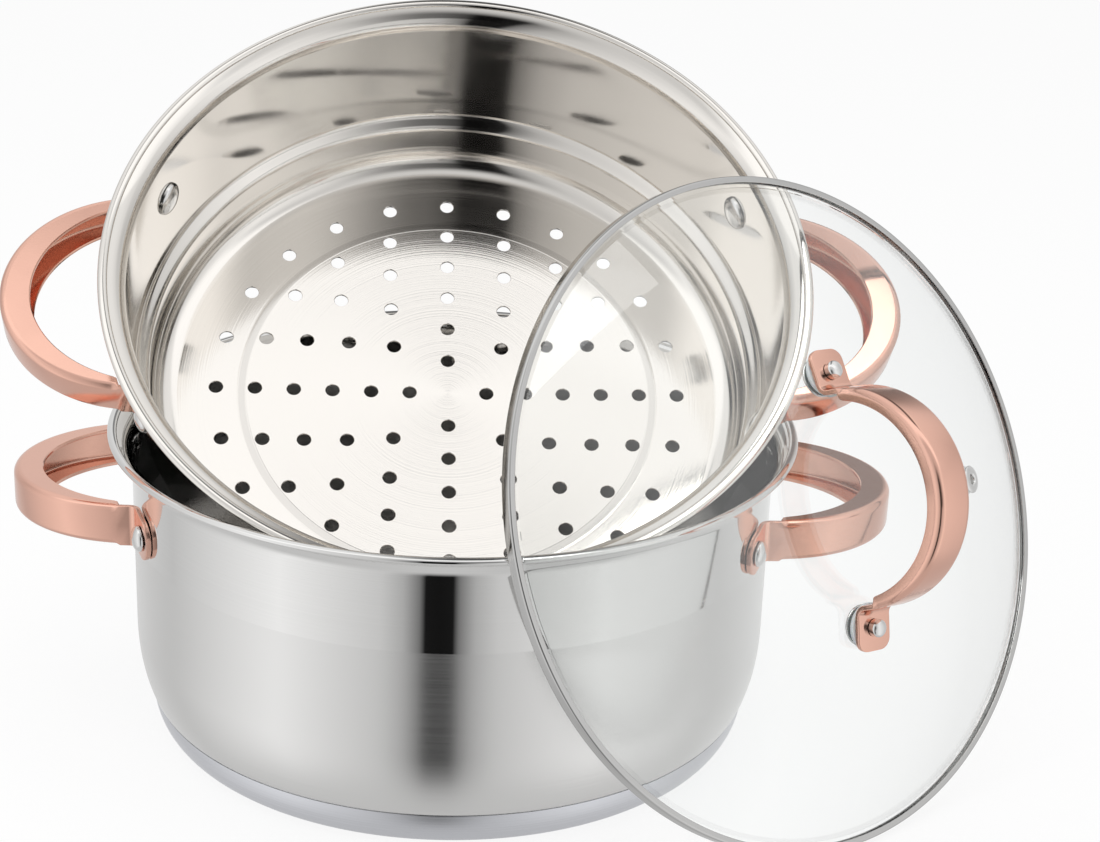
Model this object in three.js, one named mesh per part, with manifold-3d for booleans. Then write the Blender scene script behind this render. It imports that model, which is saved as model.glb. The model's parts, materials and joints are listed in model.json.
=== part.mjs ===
import * as THREE from "three";
import { mergeVertices } from "three/addons/utils/BufferGeometryUtils.js";
import Module from "manifold-3d";

const wasm = await Module();
wasm.setup();

// Divisions of round pieces, and the gap left between pieces that touch
const ROUND_STEPS = 52;
const RIVET_STEPS = 10;
const RING_STEPS = 20;
const DRILL_STEPS = 10;
const STEAM_HOLE_STEPS = 6;
const POT_CORNER_STEPS = 7;
const POT_INSIDE_STEPS = 5;
const KNUCKLE_STEPS = 2;
const CAP_STEPS = 4;
const INSERT_CORNER_STEPS = 3;
const STRAP_STEPS = 7;
const EAR_BEND_STEPS = 2;
const GAP = 0.3;
const DRILL_OVERRUN = 4;
const MERGE = 1e-4;

// Steel sheet, wall and rolled lip, shared by the pot and the insert
const SHEET = 0.8;
const WALL_RADIUS = 118.5;
const LIP_RADIUS = 127;
const LIP_WIDTH = 3.4;
const LIP_DEPTH = 2.5;
const LIP_INNER_DEPTH = 0.5;
const FLARE_KNEE = [0.5, 0.6];

// Section of the rolled lip from its underside over its edge, as shares of its width in and its depth down
const LIP_UNDER = [0.7, 1];
const LIP_ROLL = [
  [0.18, 0.85],
  [0, 0.5],
  [0.15, 0.12],
  [0.45, 0],
  [0.8, 0.12],
];

// Pot
const POT_HEIGHT = 116.4;
const POT_FLARE = 10.4;
const POT_CORNER_TOP = 40;
const POT_CORNER_WIDTH = 16;
const POT_CORNER_DEPTH = 36;
const POT_FLOOR = 7;
const POT_HANDLE_HEIGHT = 87.7;

// Base: an aluminium core closed in by a steel cap, with a seam under the wall
const SEAM_HEIGHT = 14;
const SEAM_GAP = 0.6;
const SEAM_STEP = 1.2;
const CAP_SHEET = 0.6;
const CAP_ROUND = 8.8;
const CORE_CLEARANCE = 1.5;
const CORE_BEVEL = 1;
const KNUCKLE_CLEARANCE = 0.5;

// Steamer insert, measured from the inside of its floor
const INSERT_HEIGHT = 83;
const INSERT_FLARE = 8.4;
const INSERT_LOWER_RADIUS = 113.8;
const INSERT_SHOULDER_LOW = 19;
const INSERT_SHOULDER_HIGH = 25;
const INSERT_CORNER = 9;
const INSERT_HANDLE_HEIGHT = 56;
const STEAM_RINGS = 6;
const STEAM_HOLES_PER_RING = 4;
const STEAM_PITCH = 14.87;
const STEAM_HOLE_RADIUS = 2.7;

// Side handles: a copper channel bent into a loop, its two ends flattened into ears on the wall
const HANDLE_REACH = 163.5;
const HANDLE_LEG_START = 115;
const HANDLE_HALF_SPAN = 42.5;
const STRAP_HALF = 7.75;
const STRAP_SHEET = 1.4;
const STRAP_ROUND = 2.6;
const FLANGE_APEX = 11;
const FLANGE_END = 4.2;
const FLANGE_CUT = 83;
const EAR_LIP = 0.4;
const EAR_ROUND = 0.35;
const EAR_TIP = 2;
const EAR_DROP = 1.5;
const EAR_BEND = 3;
const EAR_SEAT_GAP = 0.25;
const EAR_END = 7.5;
const EAR_SHARES = [0.3, 0.55, 0.75, 0.9, 1];
const EAR_DROPPED = 0.55;

// Handle rivets: each sits on the middle of a flat of the wall, a few steps from the handle's axis
const RIVET_AT_STEP = 3.5;
const RIVET_ANGLE = (RIVET_AT_STEP * 2 * Math.PI) / ROUND_STEPS;
const RIVET_SHANK = 2.2;
const RIVET_HEAD = 4.75;
const RIVET_DOME = 2.7;
const RIVET_TAIL = 4.5;
const RIVET_TAIL_DOME = 1.6;

// Section of a rivet's tail and head from axis to edge, as shares of radius and height
const TAIL_SECTION = [
  [0, 1],
  [0.6, 0.85],
  [1, 0.3],
  [1, 0],
];
const HEAD_SECTION = [
  [1, 0],
  [1, 0.25],
  [0.8, 0.68],
  [0.45, 0.94],
  [0, 1],
];

// Lid: a glass dome in a steel band
const LID_RADIUS = 118.8;
const BAND_HALF = 2.4;
const BAND_SHEET = 0.5;
const BAND_LIP = 3.3;
const BAND_CHAMFER = 0.5;
const GLASS_SHEET = 3.2;
const GLASS_RIM = 4;
const DOME_BASE = LID_RADIUS - GLASS_RIM;
const DOME_RISE = 33;
const DOME_SHARES = [1, 0.82, 0.6, 0.38, 0.19, 0];

// Lid handle: the same channel as the side handles, narrower, on two feet
const LID_HANDLE_REACH = 48;
const LID_LEG_LIFT = 1;
const LID_HANDLE_SPAN = 37.5;
const LID_STRAP_HALF = 7.25;
const LID_FLANGE_APEX = 6.5;
const LID_FLANGE_END = 4;
const LID_RIVET_SPREAD = 43.5;
const LID_EAR_END = 8;
const LID_EAR_CORNER = 4;
const LID_RIVET_SHANK = 2;
const LID_RIVET_HEAD = 3.1;
const LID_RIVET_DOME = 3.4;
const LID_RIVET_TAIL = 4;
const GASKET_RADIUS = 8.2;
const GASKET_SHEET = 1.4;
const WASHER_RADIUS = 7;
const WASHER_SHEET = 1;

// Steam vent in the glass
const VENT_SPREAD = 68;
const VENT_RADIUS = 5;
const VENT_TUBE = 2.8;
const VENT_HOLE = 1.7;
const VENT_FLANGE = 0.9;

// Rest pose of the insert, which leans forward in the pot's mouth, and how deep its floor's middle is in it
const INSERT_TURN = 4.66;
const INSERT_TILT = 36.89;
const INSERT_SPIN = -1.54;
const INSERT_ASIDE = -3.28;
const INSERT_BACK = 36.12;
const INSERT_SINK = 3.42;

// Rest pose of the lid, which stands on its band and leans on the pot's lip
const LID_HEADING = -52.33;
const LID_LEAN = 26.07;
const LID_ROLL = 84.06;
const LID_ASIDE = 56.76;
const LID_FLOOR_GAP = 0.2;

const DOME_RADIUS = (DOME_BASE ** 2 + DOME_RISE ** 2) / (2 * DOME_RISE);
const DOME_CENTRE = GLASS_SHEET / 2 + DOME_RISE - DOME_RADIUS;

const steel = new THREE.MeshStandardMaterial({ color: 0xc9cbcc, metalness: 1, roughness: 0.28 });
const baseSteel = new THREE.MeshStandardMaterial({ color: 0xb4b8be, metalness: 1, roughness: 0.4 });
const copper = new THREE.MeshStandardMaterial({ color: 0xd9a48c, metalness: 1, roughness: 0.2 });
const aluminium = new THREE.MeshStandardMaterial({ color: 0xa9abad, metalness: 1, roughness: 0.5 });
const silicone = new THREE.MeshStandardMaterial({ color: 0xdfe2e2, roughness: 0.6 });
const glass = new THREE.MeshStandardMaterial({
  color: 0xf3f7f6,
  roughness: 0.05,
  transparent: true,
  opacity: 0.25,
});

const radians = THREE.MathUtils.degToRad;

// Solids and meshes
function solidOf(geometry) {
  const bare = geometry.clone();
  bare.deleteAttribute("normal");
  bare.deleteAttribute("uv");
  const merged = mergeVertices(bare, MERGE);
  return new wasm.Manifold(
    new wasm.Mesh({
      numProp: 3,
      vertProperties: merged.attributes.position.array,
      triVerts: new Uint32Array(merged.index.array),
    }),
  );
}

function geometryOf(solid) {
  const mesh = solid.getMesh();
  const geometry = new THREE.BufferGeometry();
  geometry.setAttribute("position", new THREE.BufferAttribute(mesh.vertProperties.slice(), 3));
  geometry.setIndex(new THREE.BufferAttribute(mesh.triVerts.slice(), 1));
  geometry.computeVertexNormals();
  return geometry;
}

function drilled(geometry, drills) {
  const body = solidOf(geometry);
  const cutters = wasm.Manifold.union(drills.map(solidOf));
  return geometryOf(body.subtract(cutters));
}

function named(name, geometry, material) {
  const mesh = new THREE.Mesh(geometry, material);
  mesh.name = name;
  return mesh;
}

// A body of revolution about Z from radius and height pairs, listed anticlockwise
function turned(profile, steps) {
  const points = profile.map(([r, z]) => new THREE.Vector2(r, z));
  return new THREE.LatheGeometry(points, steps).rotateX(Math.PI / 2);
}

// A drill of the given radius along X, from one distance from the axis to another
function drillAlongX(radius, from, to) {
  const drill = new THREE.CylinderGeometry(radius, radius, to - from, DRILL_STEPS);
  return drill.rotateZ(Math.PI / 2).translate((from + to) / 2, 0, 0);
}

// A quarter of an ellipse from its side, at angle 0, down to its foot, at 90 degrees
function quarter(centre, wide, deep, steps) {
  const points = [];
  for (let i = 0; i <= steps; i++) {
    const t = ((Math.PI / 2) * i) / steps;
    points.push([centre[0] + wide * Math.cos(t), centre[1] - deep * Math.sin(t)]);
  }
  return points;
}

// Outside of the flare and the rolled lip, up from the wall, then down the inside to the wall again
function flareAndLip(top, flare) {
  const foot = top - flare;
  const onLip = ([wide, deep]) => [LIP_RADIUS - LIP_WIDTH * wide, top - LIP_DEPTH * deep];
  const bend = (t, r, end) => {
    const knee = [r + FLARE_KNEE[0], foot + flare * FLARE_KNEE[1]];
    const k = 1 - t;
    return [0, 1].map((i) => k * k * [r, foot][i] + 2 * k * t * knee[i] + t * t * end[i]);
  };
  const outside = [0, 0.5, 1].map((t) => bend(t, WALL_RADIUS, onLip(LIP_UNDER)));
  const inner = onLip([1, LIP_INNER_DEPTH]);
  const inside = [1, 0.5, 0].map((t) => bend(t, WALL_RADIUS - SHEET, inner));
  return [...outside, ...LIP_ROLL.map(onLip), ...inside];
}

// Pot wall, with the step that the base cap meets at the seam
function potProfile() {
  const corner = quarter(
    [WALL_RADIUS - POT_CORNER_WIDTH, POT_CORNER_TOP],
    POT_CORNER_WIDTH,
    POT_CORNER_DEPTH,
    POT_CORNER_STEPS,
  ).filter(([, z]) => z > SEAM_HEIGHT + SEAM_GAP);
  const seam = (POT_CORNER_TOP - SEAM_HEIGHT) / POT_CORNER_DEPTH;
  const seamRadius = WALL_RADIUS - POT_CORNER_WIDTH * (1 - Math.sqrt(1 - seam * seam));
  const knuckleRadius = seamRadius - SEAM_STEP;
  const knuckleStart = capFlat(knuckleRadius) - KNUCKLE_CLEARANCE;
  const knuckle = quarter(
    [knuckleStart, SEAM_HEIGHT],
    knuckleRadius - knuckleStart,
    SEAM_HEIGHT - POT_FLOOR,
    KNUCKLE_STEPS,
  );
  const inside = quarter(
    [WALL_RADIUS - SHEET - POT_CORNER_WIDTH, POT_CORNER_TOP],
    POT_CORNER_WIDTH,
    POT_CORNER_TOP - POT_FLOOR - SHEET,
    POT_INSIDE_STEPS,
  );
  return {
    knuckleRadius,
    points: [
      [0, POT_FLOOR],
      ...knuckle.reverse(),
      [seamRadius, SEAM_HEIGHT + SEAM_GAP / 2],
      ...corner.reverse(),
      ...flareAndLip(POT_HEIGHT, POT_FLARE),
      ...inside,
      [0, POT_FLOOR + SHEET],
    ],
  };
}

// Radius of the flat bottom of the base cap, whose rounded wall fits round the pot's knuckle
function capFlat(knuckleRadius) {
  return knuckleRadius + GAP + CAP_SHEET - CAP_ROUND;
}

// Base cap: a shallow dish under the core, its edge just below the seam
function capProfile(knuckleRadius) {
  const edge = SEAM_HEIGHT - SEAM_GAP / 2;
  const centre = [capFlat(knuckleRadius), edge];
  const outside = quarter(centre, CAP_ROUND, edge, CAP_STEPS);
  const inside = quarter(centre, CAP_ROUND - CAP_SHEET, edge - CAP_SHEET, CAP_STEPS);
  return [[0, 0], ...outside.reverse(), ...inside, [0, CAP_SHEET]];
}

// Core: a disc on the flat of the cap, under the pot's floor
function coreProfile(knuckleRadius) {
  const radius = capFlat(knuckleRadius) - CORE_CLEARANCE;
  const low = CAP_SHEET + GAP;
  const high = POT_FLOOR - GAP;
  return [
    [0, low],
    [radius - CORE_BEVEL, low],
    [radius, low + CORE_BEVEL],
    [radius, high],
    [0, high],
  ];
}

function insertProfile() {
  const low = INSERT_LOWER_RADIUS;
  const outer = INSERT_CORNER + SHEET;
  const centre = [low - outer, INSERT_CORNER];
  const outside = quarter(centre, outer, outer, INSERT_CORNER_STEPS);
  const inside = quarter(centre, INSERT_CORNER, INSERT_CORNER, INSERT_CORNER_STEPS);
  return [
    [0, -SHEET],
    ...outside.reverse(),
    [low, INSERT_SHOULDER_LOW],
    [WALL_RADIUS, INSERT_SHOULDER_HIGH],
    ...flareAndLip(INSERT_HEIGHT, INSERT_FLARE),
    [WALL_RADIUS - SHEET, INSERT_SHOULDER_HIGH + SHEET / 2],
    [low - SHEET, INSERT_SHOULDER_LOW + SHEET / 2],
    ...inside,
    [0, 0],
  ];
}

// Holes in the insert's floor: each ring holds four more than the one inside it
function steamDrills() {
  const drills = [];
  for (let ring = 1; ring <= STEAM_RINGS; ring++) {
    const count = ring * STEAM_HOLES_PER_RING;
    for (let i = 0; i < count; i++) {
      const angle = (2 * Math.PI * i) / count;
      const drill = new THREE.CylinderGeometry(
        STEAM_HOLE_RADIUS,
        STEAM_HOLE_RADIUS,
        DRILL_OVERRUN * SHEET,
        STEAM_HOLE_STEPS,
      );
      drill.rotateX(Math.PI / 2);
      drill.translate(ring * STEAM_PITCH, 0, -SHEET / 2);
      drills.push(drill.rotateZ(angle));
    }
  }
  return drills;
}

// Section of the strap, as depth from its outer face and height: a channel with a rounded back
function channel(half, round, depth) {
  const chord = round * (1 - Math.SQRT1_2);
  const back = half - STRAP_SHEET;
  return [
    [depth, -half],
    [round, -half],
    [chord, chord - half],
    [0, round - half],
    [0, half - round],
    [chord, half - chord],
    [round, half],
    [depth, half],
    [depth, back],
    [STRAP_SHEET, back],
    [STRAP_SHEET, -back],
    [depth, -back],
  ];
}

// Stations of half a loop, from its apex to the tip of one ear, in the plane of the loop
function halfLoop(h) {
  const stations = [];
  const cut = radians(FLANGE_CUT);
  for (let i = 0; i < STRAP_STEPS; i++) {
    const t = (cut * i) / (STRAP_STEPS - 1);
    const normal = new THREE.Vector2(Math.cos(t) / h.rise, Math.sin(t) / h.span).normalize();
    stations.push({
      at: [h.start + h.rise * Math.cos(t), h.span * Math.sin(t)],
      inward: [-normal.x, -normal.y],
      depth: h.flangeEnd + (h.flangeApex - h.flangeEnd) * Math.cos(t),
      round: STRAP_ROUND,
      half: h.half,
      drop: 0,
    });
  }
  const ear = { depth: STRAP_SHEET + EAR_LIP, round: EAR_ROUND, half: h.half, drop: 0 };
  const face = h.seat + STRAP_SHEET + EAR_LIP;
  const bendY = h.span + EAR_BEND;
  const bendX = Math.sqrt((face + EAR_BEND) ** 2 - bendY ** 2);
  const meet = Math.atan2(bendY, bendX);
  stations.push({ ...ear, at: [h.start, h.span], inward: [0, -1] });
  for (let i = 1; i <= EAR_BEND_STEPS; i++) {
    const t = -Math.PI / 2 - ((Math.PI / 2 - meet) * i) / EAR_BEND_STEPS;
    const out = [Math.cos(t), Math.sin(t)];
    const at = [bendX + EAR_BEND * out[0], bendY + EAR_BEND * out[1]];
    stations.push({ ...ear, at, inward: out });
  }
  const tip = h.rivetAngle + h.earEnd / face;
  const length = (tip - meet) * face;
  for (const reach of EAR_SHARES) {
    const angle = meet + (tip - meet) * reach;
    const past = Math.max(0, h.earCorner - length * (1 - reach));
    const trimmed = h.half - h.earCorner + Math.sqrt(h.earCorner ** 2 - past ** 2);
    stations.push({
      ...ear,
      at: [face * Math.cos(angle), face * Math.sin(angle)],
      inward: [-Math.cos(angle), -Math.sin(angle)],
      half: Math.max(EAR_TIP, trimmed),
      drop: h.earDrop * Math.min(1, reach / EAR_DROPPED),
    });
  }
  return stations;
}

// The whole strap, tip to tip, as one closed skin over its sections
function strap(h) {
  const half = halfLoop(h);
  const other = half.slice(1).map((s) => ({
    ...s,
    at: [s.at[0], -s.at[1]],
    inward: [s.inward[0], -s.inward[1]],
  }));
  const stations = [...other.reverse(), ...half];
  const position = [];
  for (const s of stations) {
    for (const [depth, height] of channel(s.half, s.round, s.depth)) {
      const x = s.at[0] + depth * s.inward[0];
      const y = s.at[1] + depth * s.inward[1];
      position.push(x, y, height - s.drop);
    }
  }
  const loop = position.length / 3 / stations.length;
  const index = [];
  for (let i = 0; i + 1 < stations.length; i++) {
    for (let j = 0; j < loop; j++) {
      const a = i * loop + j;
      const b = i * loop + ((j + 1) % loop);
      index.push(a, b, a + loop, b, b + loop, a + loop);
    }
  }
  const last = (stations.length - 1) * loop;
  const section = channel(h.half, EAR_ROUND, STRAP_SHEET + EAR_LIP);
  const outline = section.map(([depth, height]) => new THREE.Vector2(depth, height));
  for (const [a, b, c] of THREE.ShapeUtils.triangulateShape(outline, [])) {
    index.push(a, b, c, last + a, last + c, last + b);
  }
  const geometry = new THREE.BufferGeometry();
  geometry.setAttribute("position", new THREE.Float32BufferAttribute(position, 3));
  geometry.setIndex(index);
  const skin = solidOf(geometry).volume() < 0 ? reversed(geometry) : geometry;
  const drills = [-1, 1].map((sign) =>
    drillAlongX(h.rivetHole, h.seat - DRILL_OVERRUN, h.seat + DRILL_OVERRUN)
      .rotateZ(sign * h.rivetAngle)
      .translate(0, 0, -h.earDrop),
  );
  return drilled(skin, drills);
}

function reversed(geometry) {
  const turnedOver = geometry.clone();
  const index = Array.from(geometry.index.array);
  for (let i = 0; i < index.length; i += 3) {
    [index[i + 1], index[i + 2]] = [index[i + 2], index[i + 1]];
  }
  turnedOver.setIndex(index);
  return turnedOver;
}

// A rivet along X: a domed head outside, a shank, and a flatter tail inside
function rivet(r) {
  const profile = [
    ...TAIL_SECTION.map(([wide, high]) => [r.tail * wide, r.tailAt - r.tailDome * high]),
    [r.shank, r.tailAt],
    [r.shank, r.headAt],
    ...HEAD_SECTION.map(([wide, high]) => [r.head * wide, r.headAt + r.dome * high]),
  ];
  return turned(profile, RIVET_STEPS).rotateY(Math.PI / 2);
}

// A flat ring along X with a hole for a rivet's shank
function flatRing(radius, hole, from, to) {
  const profile = [
    [hole, from],
    [radius, from],
    [radius, to],
    [hole, to],
    [hole, from],
  ];
  return turned(profile, RING_STEPS).rotateY(Math.PI / 2);
}

const sideHandle = {
  seat: WALL_RADIUS + EAR_SEAT_GAP,
  start: HANDLE_LEG_START,
  rise: HANDLE_REACH - HANDLE_LEG_START,
  span: HANDLE_HALF_SPAN,
  half: STRAP_HALF,
  flangeApex: FLANGE_APEX,
  flangeEnd: FLANGE_END,
  rivetAngle: RIVET_ANGLE,
  rivetHole: RIVET_SHANK + GAP,
  earEnd: EAR_END,
  earCorner: STRAP_HALF - EAR_TIP / 2,
  earDrop: EAR_DROP,
};

const sideRivet = {
  shank: RIVET_SHANK,
  head: RIVET_HEAD,
  headAt: sideHandle.seat + STRAP_SHEET + EAR_LIP + GAP,
  dome: RIVET_DOME,
  tail: RIVET_TAIL,
  tailAt: (WALL_RADIUS - SHEET) * Math.cos(Math.PI / ROUND_STEPS) - GAP,
  tailDome: RIVET_TAIL_DOME,
};

// Two handles and four rivets on a vessel, and the drills for its wall
const SIDES = [
  { side: "right", angle: 0 },
  { side: "left", angle: Math.PI },
];

function rivetPlaces(height) {
  return SIDES.flatMap(({ side, angle }) =>
    [-1, 1].map((sign) => {
      const at = angle + sign * RIVET_ANGLE;
      const end = Math.sin(at) < 0 ? "_front" : "_rear";
      return { name: side + end, at, height: height - EAR_DROP };
    }),
  );
}

function handlesAndRivets(vessel, height) {
  const handles = SIDES.map(({ side, angle }) => {
    const bent = strap(sideHandle).rotateZ(angle).translate(0, 0, height);
    return named(vessel + "_handle_" + side, bent, copper);
  });
  const rivets = rivetPlaces(height).map((place) =>
    named(
      vessel + "_rivet_" + place.name,
      rivet(sideRivet).rotateZ(place.at).translate(0, 0, place.height),
      steel,
    ),
  );
  return [...handles, ...rivets];
}

function wallDrills(height) {
  return rivetPlaces(height).map((place) =>
    drillAlongX(RIVET_SHANK + GAP, WALL_RADIUS - DRILL_OVERRUN, WALL_RADIUS + DRILL_OVERRUN)
      .rotateZ(place.at)
      .translate(0, 0, place.height),
  );
}

// Lid glass: a dome with a flat edge that sits in the band
function glassProfile() {
  const edge = LID_RADIUS - BAND_SHEET - GAP;
  const inner = DOME_RADIUS - GLASS_SHEET;
  const innerBase = Math.sqrt(inner ** 2 - (GLASS_SHEET / 2 + DOME_CENTRE) ** 2);
  const arc = (radius, base) => {
    const span = Math.asin(base / radius);
    return DOME_SHARES.map((k) => [
      radius * Math.sin(span * k),
      DOME_CENTRE + radius * Math.cos(span * k),
    ]);
  };
  return [
    ...arc(inner, innerBase).reverse(),
    [edge, -GLASS_SHEET / 2],
    [edge, GLASS_SHEET / 2],
    ...arc(DOME_RADIUS, DOME_BASE),
  ];
}

// Steel band: a channel round the edge of the glass
function bandProfile() {
  const lip = LID_RADIUS - BAND_LIP;
  const groove = LID_RADIUS - BAND_SHEET;
  const inside = BAND_HALF - BAND_SHEET;
  return [
    [lip, -BAND_HALF],
    [LID_RADIUS - BAND_CHAMFER, -BAND_HALF],
    [LID_RADIUS, BAND_CHAMFER - BAND_HALF],
    [LID_RADIUS, BAND_HALF - BAND_CHAMFER],
    [LID_RADIUS - BAND_CHAMFER, BAND_HALF],
    [lip, BAND_HALF],
    [lip, inside],
    [groove, inside],
    [groove, -inside],
    [lip, -inside],
    [lip, -BAND_HALF],
  ];
}

// From the strap's plane, with X out of the dome's centre, to the lid's own frame, with Z up
function ontoDome(geometry) {
  return geometry.rotateY(-Math.PI / 2).translate(0, 0, DOME_CENTRE);
}

const lidSeat = DOME_RADIUS + GAP + GASKET_SHEET + GAP;
const lidFace = lidSeat + STRAP_SHEET + EAR_LIP;
const lidLegStart = lidFace + LID_LEG_LIFT;
const lidRivetAngle = Math.asin(LID_RIVET_SPREAD / lidSeat);

const lidHandle = {
  seat: lidSeat,
  start: lidLegStart,
  rise: lidFace * Math.cos(lidRivetAngle) + LID_HANDLE_REACH - lidLegStart,
  span: LID_HANDLE_SPAN,
  half: LID_STRAP_HALF,
  flangeApex: LID_FLANGE_APEX,
  flangeEnd: LID_FLANGE_END,
  rivetAngle: lidRivetAngle,
  rivetHole: LID_RIVET_SHANK + GAP,
  earEnd: LID_EAR_END,
  earCorner: LID_EAR_CORNER,
  earDrop: 0,
};

const washerAt = DOME_RADIUS - GLASS_SHEET - 2 * GAP;

const lidRivet = {
  shank: LID_RIVET_SHANK,
  head: LID_RIVET_HEAD,
  headAt: lidFace + GAP,
  dome: LID_RIVET_DOME,
  tail: LID_RIVET_TAIL,
  tailAt: washerAt - WASHER_SHEET - GAP,
  tailDome: RIVET_TAIL_DOME,
};

const LID_FEET = [
  { name: "upper", sign: 1 },
  { name: "lower", sign: -1 },
];

// Vent eyelet: a tube through the glass with a flange on each side
function ventProfile() {
  const top = DOME_RADIUS + GAP;
  const bottom = DOME_RADIUS - GLASS_SHEET - 2 * GAP;
  return [
    [VENT_HOLE, bottom - VENT_FLANGE],
    [VENT_RADIUS, bottom - VENT_FLANGE],
    [VENT_RADIUS, bottom],
    [VENT_TUBE, bottom],
    [VENT_TUBE, top],
    [VENT_RADIUS, top],
    [VENT_RADIUS - VENT_FLANGE, top + VENT_FLANGE],
    [VENT_HOLE, top + VENT_FLANGE],
    [VENT_HOLE, bottom - VENT_FLANGE],
  ];
}

const ventAngle = Math.asin(VENT_SPREAD / DOME_RADIUS);

function glassDrills() {
  const low = DOME_RADIUS - GLASS_SHEET - DRILL_OVERRUN;
  const high = DOME_RADIUS + DRILL_OVERRUN;
  const feet = LID_FEET.map(({ sign }) =>
    ontoDome(drillAlongX(LID_RIVET_SHANK + GAP, low, high).rotateZ(sign * lidRivetAngle)),
  );
  const vent = drillAlongX(VENT_TUBE + GAP, low, high).rotateY(-Math.PI / 2);
  return [...feet, vent.rotateY(ventAngle).translate(0, 0, DOME_CENTRE)];
}

function lidFootPieces({ name, sign }) {
  const place = (geometry) => ontoDome(geometry.rotateZ(sign * lidRivetAngle));
  const hole = LID_RIVET_SHANK + GAP;
  const gasketAt = DOME_RADIUS + GAP;
  const gasket = flatRing(GASKET_RADIUS, hole, gasketAt, gasketAt + GASKET_SHEET);
  const washer = flatRing(WASHER_RADIUS, hole, washerAt - WASHER_SHEET, washerAt);
  return [
    named("lid_rivet_" + name, place(rivet(lidRivet)), steel),
    named("lid_gasket_" + name, place(gasket), silicone),
    named("lid_washer_" + name, place(washer), steel),
  ];
}

// A group turned by three angles in order, each about its own axis
function posed(name, at, turns, pieces) {
  let inner = new THREE.Group();
  inner.add(...pieces);
  for (const [axis, degrees] of [...turns].reverse()) {
    inner.rotation[axis] = radians(degrees);
    const outer = new THREE.Group();
    outer.add(inner);
    inner = outer;
  }
  inner.name = name;
  inner.position.set(...at);
  return inner;
}

// The lid's centre: its band just clears the surface it stands on and, at one side, the pot's lip
function lidAt() {
  const lean = radians(LID_LEAN);
  const height = LID_RADIUS * Math.cos(lean) + BAND_HALF * Math.sin(lean) + LID_FLOOR_GAP;
  const lipAbove = POT_HEIGHT - LIP_DEPTH / 2 - height;
  const touchAside = Math.sqrt((LID_RADIUS - BAND_LIP) ** 2 - (lipAbove / Math.cos(lean)) ** 2);
  const lipReach = Math.sqrt(LIP_RADIUS ** 2 - (touchAside - LID_ASIDE) ** 2);
  const away = lipReach + lipAbove * Math.tan(lean) + (BAND_HALF + GAP) / Math.cos(lean);
  const stand = new THREE.Vector3(away, LID_ASIDE, height);
  return stand.applyAxisAngle(new THREE.Vector3(0, 0, 1), radians(LID_HEADING)).toArray();
}

const pot = potProfile();
const potWall = turned(pot.points, ROUND_STEPS);
const potPieces = [
  named("pot_shell", drilled(potWall, wallDrills(POT_HANDLE_HEIGHT)), steel),
  named("pot_base_core", turned(coreProfile(pot.knuckleRadius), ROUND_STEPS), aluminium),
  named("pot_base_cap", turned(capProfile(pot.knuckleRadius), ROUND_STEPS), baseSteel),
  ...handlesAndRivets("pot", POT_HANDLE_HEIGHT),
];

const insertDrills = [...wallDrills(INSERT_HANDLE_HEIGHT), ...steamDrills()];
const insertPieces = [
  named("insert_body", drilled(turned(insertProfile(), ROUND_STEPS), insertDrills), steel),
  ...handlesAndRivets("insert", INSERT_HANDLE_HEIGHT),
];

const vent = turned(ventProfile(), RING_STEPS).rotateY(ventAngle).translate(0, 0, DOME_CENTRE);
const lidPieces = [
  named("lid_glass", drilled(turned(glassProfile(), ROUND_STEPS), glassDrills()), glass),
  named("lid_band", turned(bandProfile(), ROUND_STEPS), steel),
  named("lid_handle", ontoDome(strap(lidHandle)), copper),
  ...LID_FEET.flatMap(lidFootPieces),
  named("lid_vent", vent, steel),
];

const steamerPot = new THREE.Group();
steamerPot.name = "steamer_pot";
steamerPot.add(...potPieces);
const insertTurns = [
  ["z", INSERT_TURN],
  ["x", INSERT_TILT],
  ["z", INSERT_SPIN],
];
const lidTurns = [
  ["z", LID_HEADING],
  ["y", 90 - LID_LEAN],
  ["z", LID_ROLL],
];
const insertAt = [INSERT_ASIDE, INSERT_BACK, POT_HEIGHT - INSERT_SINK];
steamerPot.add(posed("insert", insertAt, insertTurns, insertPieces));
steamerPot.add(posed("lid", lidAt(), lidTurns, lidPieces));

export default steamerPot;
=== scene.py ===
import json
import math

import bmesh
import bpy
from mathutils import Matrix, Vector


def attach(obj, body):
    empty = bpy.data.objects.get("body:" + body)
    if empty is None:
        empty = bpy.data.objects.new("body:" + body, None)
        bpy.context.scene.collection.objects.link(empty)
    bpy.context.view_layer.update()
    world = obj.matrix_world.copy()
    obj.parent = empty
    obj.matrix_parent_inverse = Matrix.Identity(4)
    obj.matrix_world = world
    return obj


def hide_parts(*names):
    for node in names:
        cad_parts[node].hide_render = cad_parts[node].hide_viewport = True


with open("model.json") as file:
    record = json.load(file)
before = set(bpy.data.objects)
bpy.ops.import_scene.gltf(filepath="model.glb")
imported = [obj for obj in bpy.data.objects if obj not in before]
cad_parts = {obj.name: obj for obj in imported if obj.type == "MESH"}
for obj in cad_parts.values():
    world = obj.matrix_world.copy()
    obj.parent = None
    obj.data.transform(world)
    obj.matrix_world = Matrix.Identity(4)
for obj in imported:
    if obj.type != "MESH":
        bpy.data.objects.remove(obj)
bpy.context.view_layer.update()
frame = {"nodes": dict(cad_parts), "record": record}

# Sizes are in millimetres, as on the part, and become metres when a mesh is made
MM = 0.001

# Divisions of the smooth surfaces
ROUND_STEPS = 256
RIVET_STEPS = 40
HOLE_STEPS = 24
LOOP_STEPS = 40
BEND_STEPS = 10
EAR_STEPS = 18
CORNER_STEPS = 14
FILLET_STEPS = 4
BACK_STEPS = 6
LOOP_SPACING = 0.8

# Limits of the mesh work: sharp edges, level faces, points on the axis, points that are one
SMOOTH_ANGLE = 32
LEVEL = 0.99999
ON_AXIS = 1e-6
WELD = 1e-6

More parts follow.
